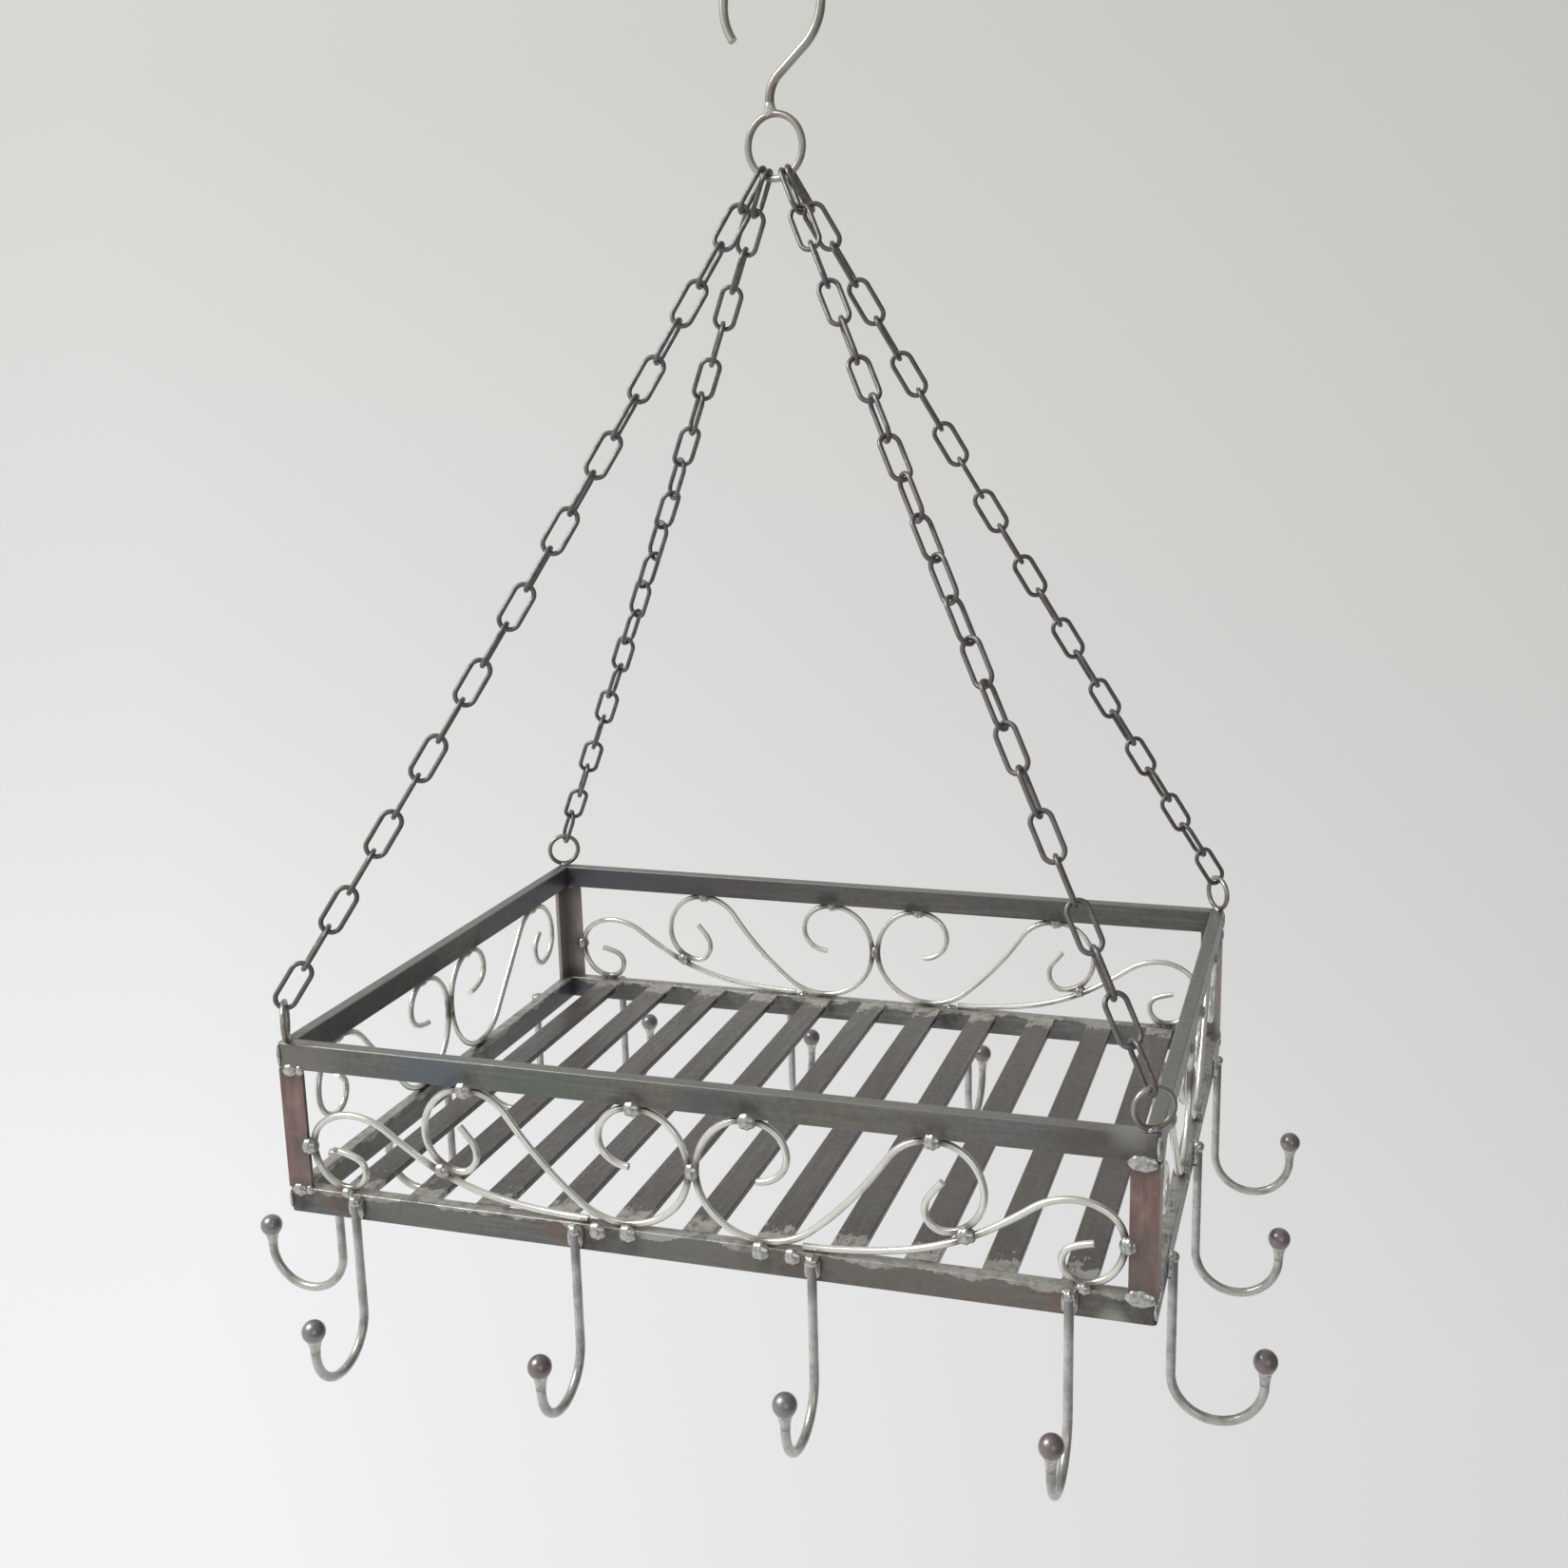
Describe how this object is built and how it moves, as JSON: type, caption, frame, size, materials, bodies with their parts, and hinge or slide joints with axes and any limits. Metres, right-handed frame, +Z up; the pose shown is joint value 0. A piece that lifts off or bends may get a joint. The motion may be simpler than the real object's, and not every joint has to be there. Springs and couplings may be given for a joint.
{
  "type": "hanging pot rack",
  "caption": "Hanging steel pot rack: slatted tray with scrollwork sides and ball-ended pot hooks, hung by chains from a ring under a ceiling hook.",
  "frame": {"origin": "the inside top of the ceiling hook's loop, where the hook bears on what carries it; the tray's centre is straight below", "axes": "+X along the tray's front rail, to the right seen from the front; +Y from the front rail to the back rail; +Z up"},
  "size_m": [0.7528, 0.5998, 0.9646],
  "materials": {
    "rail_steel": "clear-lacquered bare steel, dark mill scale with a few ground patches",
    "post_steel": "clear-lacquered bare steel, reddish brown scale",
    "slat_steel": "clear-lacquered bare steel, dark scale with pale ground ends",
    "scroll_steel": "clear-lacquered bright bent rod, darker at the welds",
    "pot_hook_steel": "clear-lacquered bare steel rod, darker balls",
    "chain_steel": "clear-lacquered dark steel",
    "ring_steel": "clear-lacquered bare steel with a bright weld"
  },
  "bodies": {
    "hanger": {"ceiling_hook": "ring_steel", "top_ring": "ring_steel"},
    "first_links": {"chain_first_links": "chain_steel"},
    "rack": {"back_centre_scroll_left": "scroll_steel", "back_centre_scroll_right": "scroll_steel", "back_corner_scroll_left": "scroll_steel", "back_corner_scroll_right": "scroll_steel", "chain_back_left": "chain_steel", "chain_back_right": "chain_steel", "chain_front_left": "chain_steel", "chain_front_right": "chain_steel", "corner_eye_back_left": "chain_steel", "corner_eye_back_right": "chain_steel", "corner_eye_front_left": "chain_steel", "corner_eye_front_right": "chain_steel", "corner_post_back_left": "post_steel", "corner_post_back_right": "post_steel", "corner_post_front_left": "post_steel", "corner_post_front_right": "post_steel", "floor_slat_01": "slat_steel", "floor_slat_02": "slat_steel", "floor_slat_03": "slat_steel", "floor_slat_04": "slat_steel", "floor_slat_05": "slat_steel", "floor_slat_06": "slat_steel", "floor_slat_07": "slat_steel", "floor_slat_08": "slat_steel", "floor_slat_09": "slat_steel", "floor_slat_10": "slat_steel", "floor_slat_11": "slat_steel", "front_centre_scroll_left": "scroll_steel", "front_centre_scroll_right": "scroll_steel", "front_corner_scroll_left": "scroll_steel", "front_corner_scroll_right": "scroll_steel", "left_side_scroll_back": "scroll_steel", "left_side_scroll_front": "scroll_steel", "lower_rail_back": "rail_steel", "lower_rail_front": "rail_steel", "lower_rail_left": "rail_steel", "lower_rail_right": "rail_steel", "pot_hook_back_1": "pot_hook_steel", "pot_hook_back_2": "pot_hook_steel", "pot_hook_back_3": "pot_hook_steel", "pot_hook_back_4": "pot_hook_steel", "pot_hook_front_1": "pot_hook_steel", "pot_hook_front_2": "pot_hook_steel", "pot_hook_front_3": "pot_hook_steel", "pot_hook_front_4": "pot_hook_steel", "pot_hook_left_1": "pot_hook_steel", "pot_hook_left_2": "pot_hook_steel", "pot_hook_left_3": "pot_hook_steel", "pot_hook_right_1": "pot_hook_steel", "pot_hook_right_2": "pot_hook_steel", "pot_hook_right_3": "pot_hook_steel", "right_side_scroll_back": "scroll_steel", "right_side_scroll_front": "scroll_steel", "upper_rail_back": "rail_steel", "upper_rail_front": "rail_steel", "upper_rail_left": "rail_steel", "upper_rail_right": "rail_steel"}
  },
  "joints": [
    {"name": "sideways_sway", "type": "hinge", "parent": "hanger", "child": "first_links", "pos_m": [0, 0, -0.12802], "axis": [0.1736, 0.9848, 0], "range_deg": [-12, 12]},
    {"name": "front_back_sway", "type": "hinge", "parent": "first_links", "child": "rack", "pos_m": [0, 0, -0.1706], "axis": [1, 0, 0], "range_deg": [-5, 5]}
  ]
}
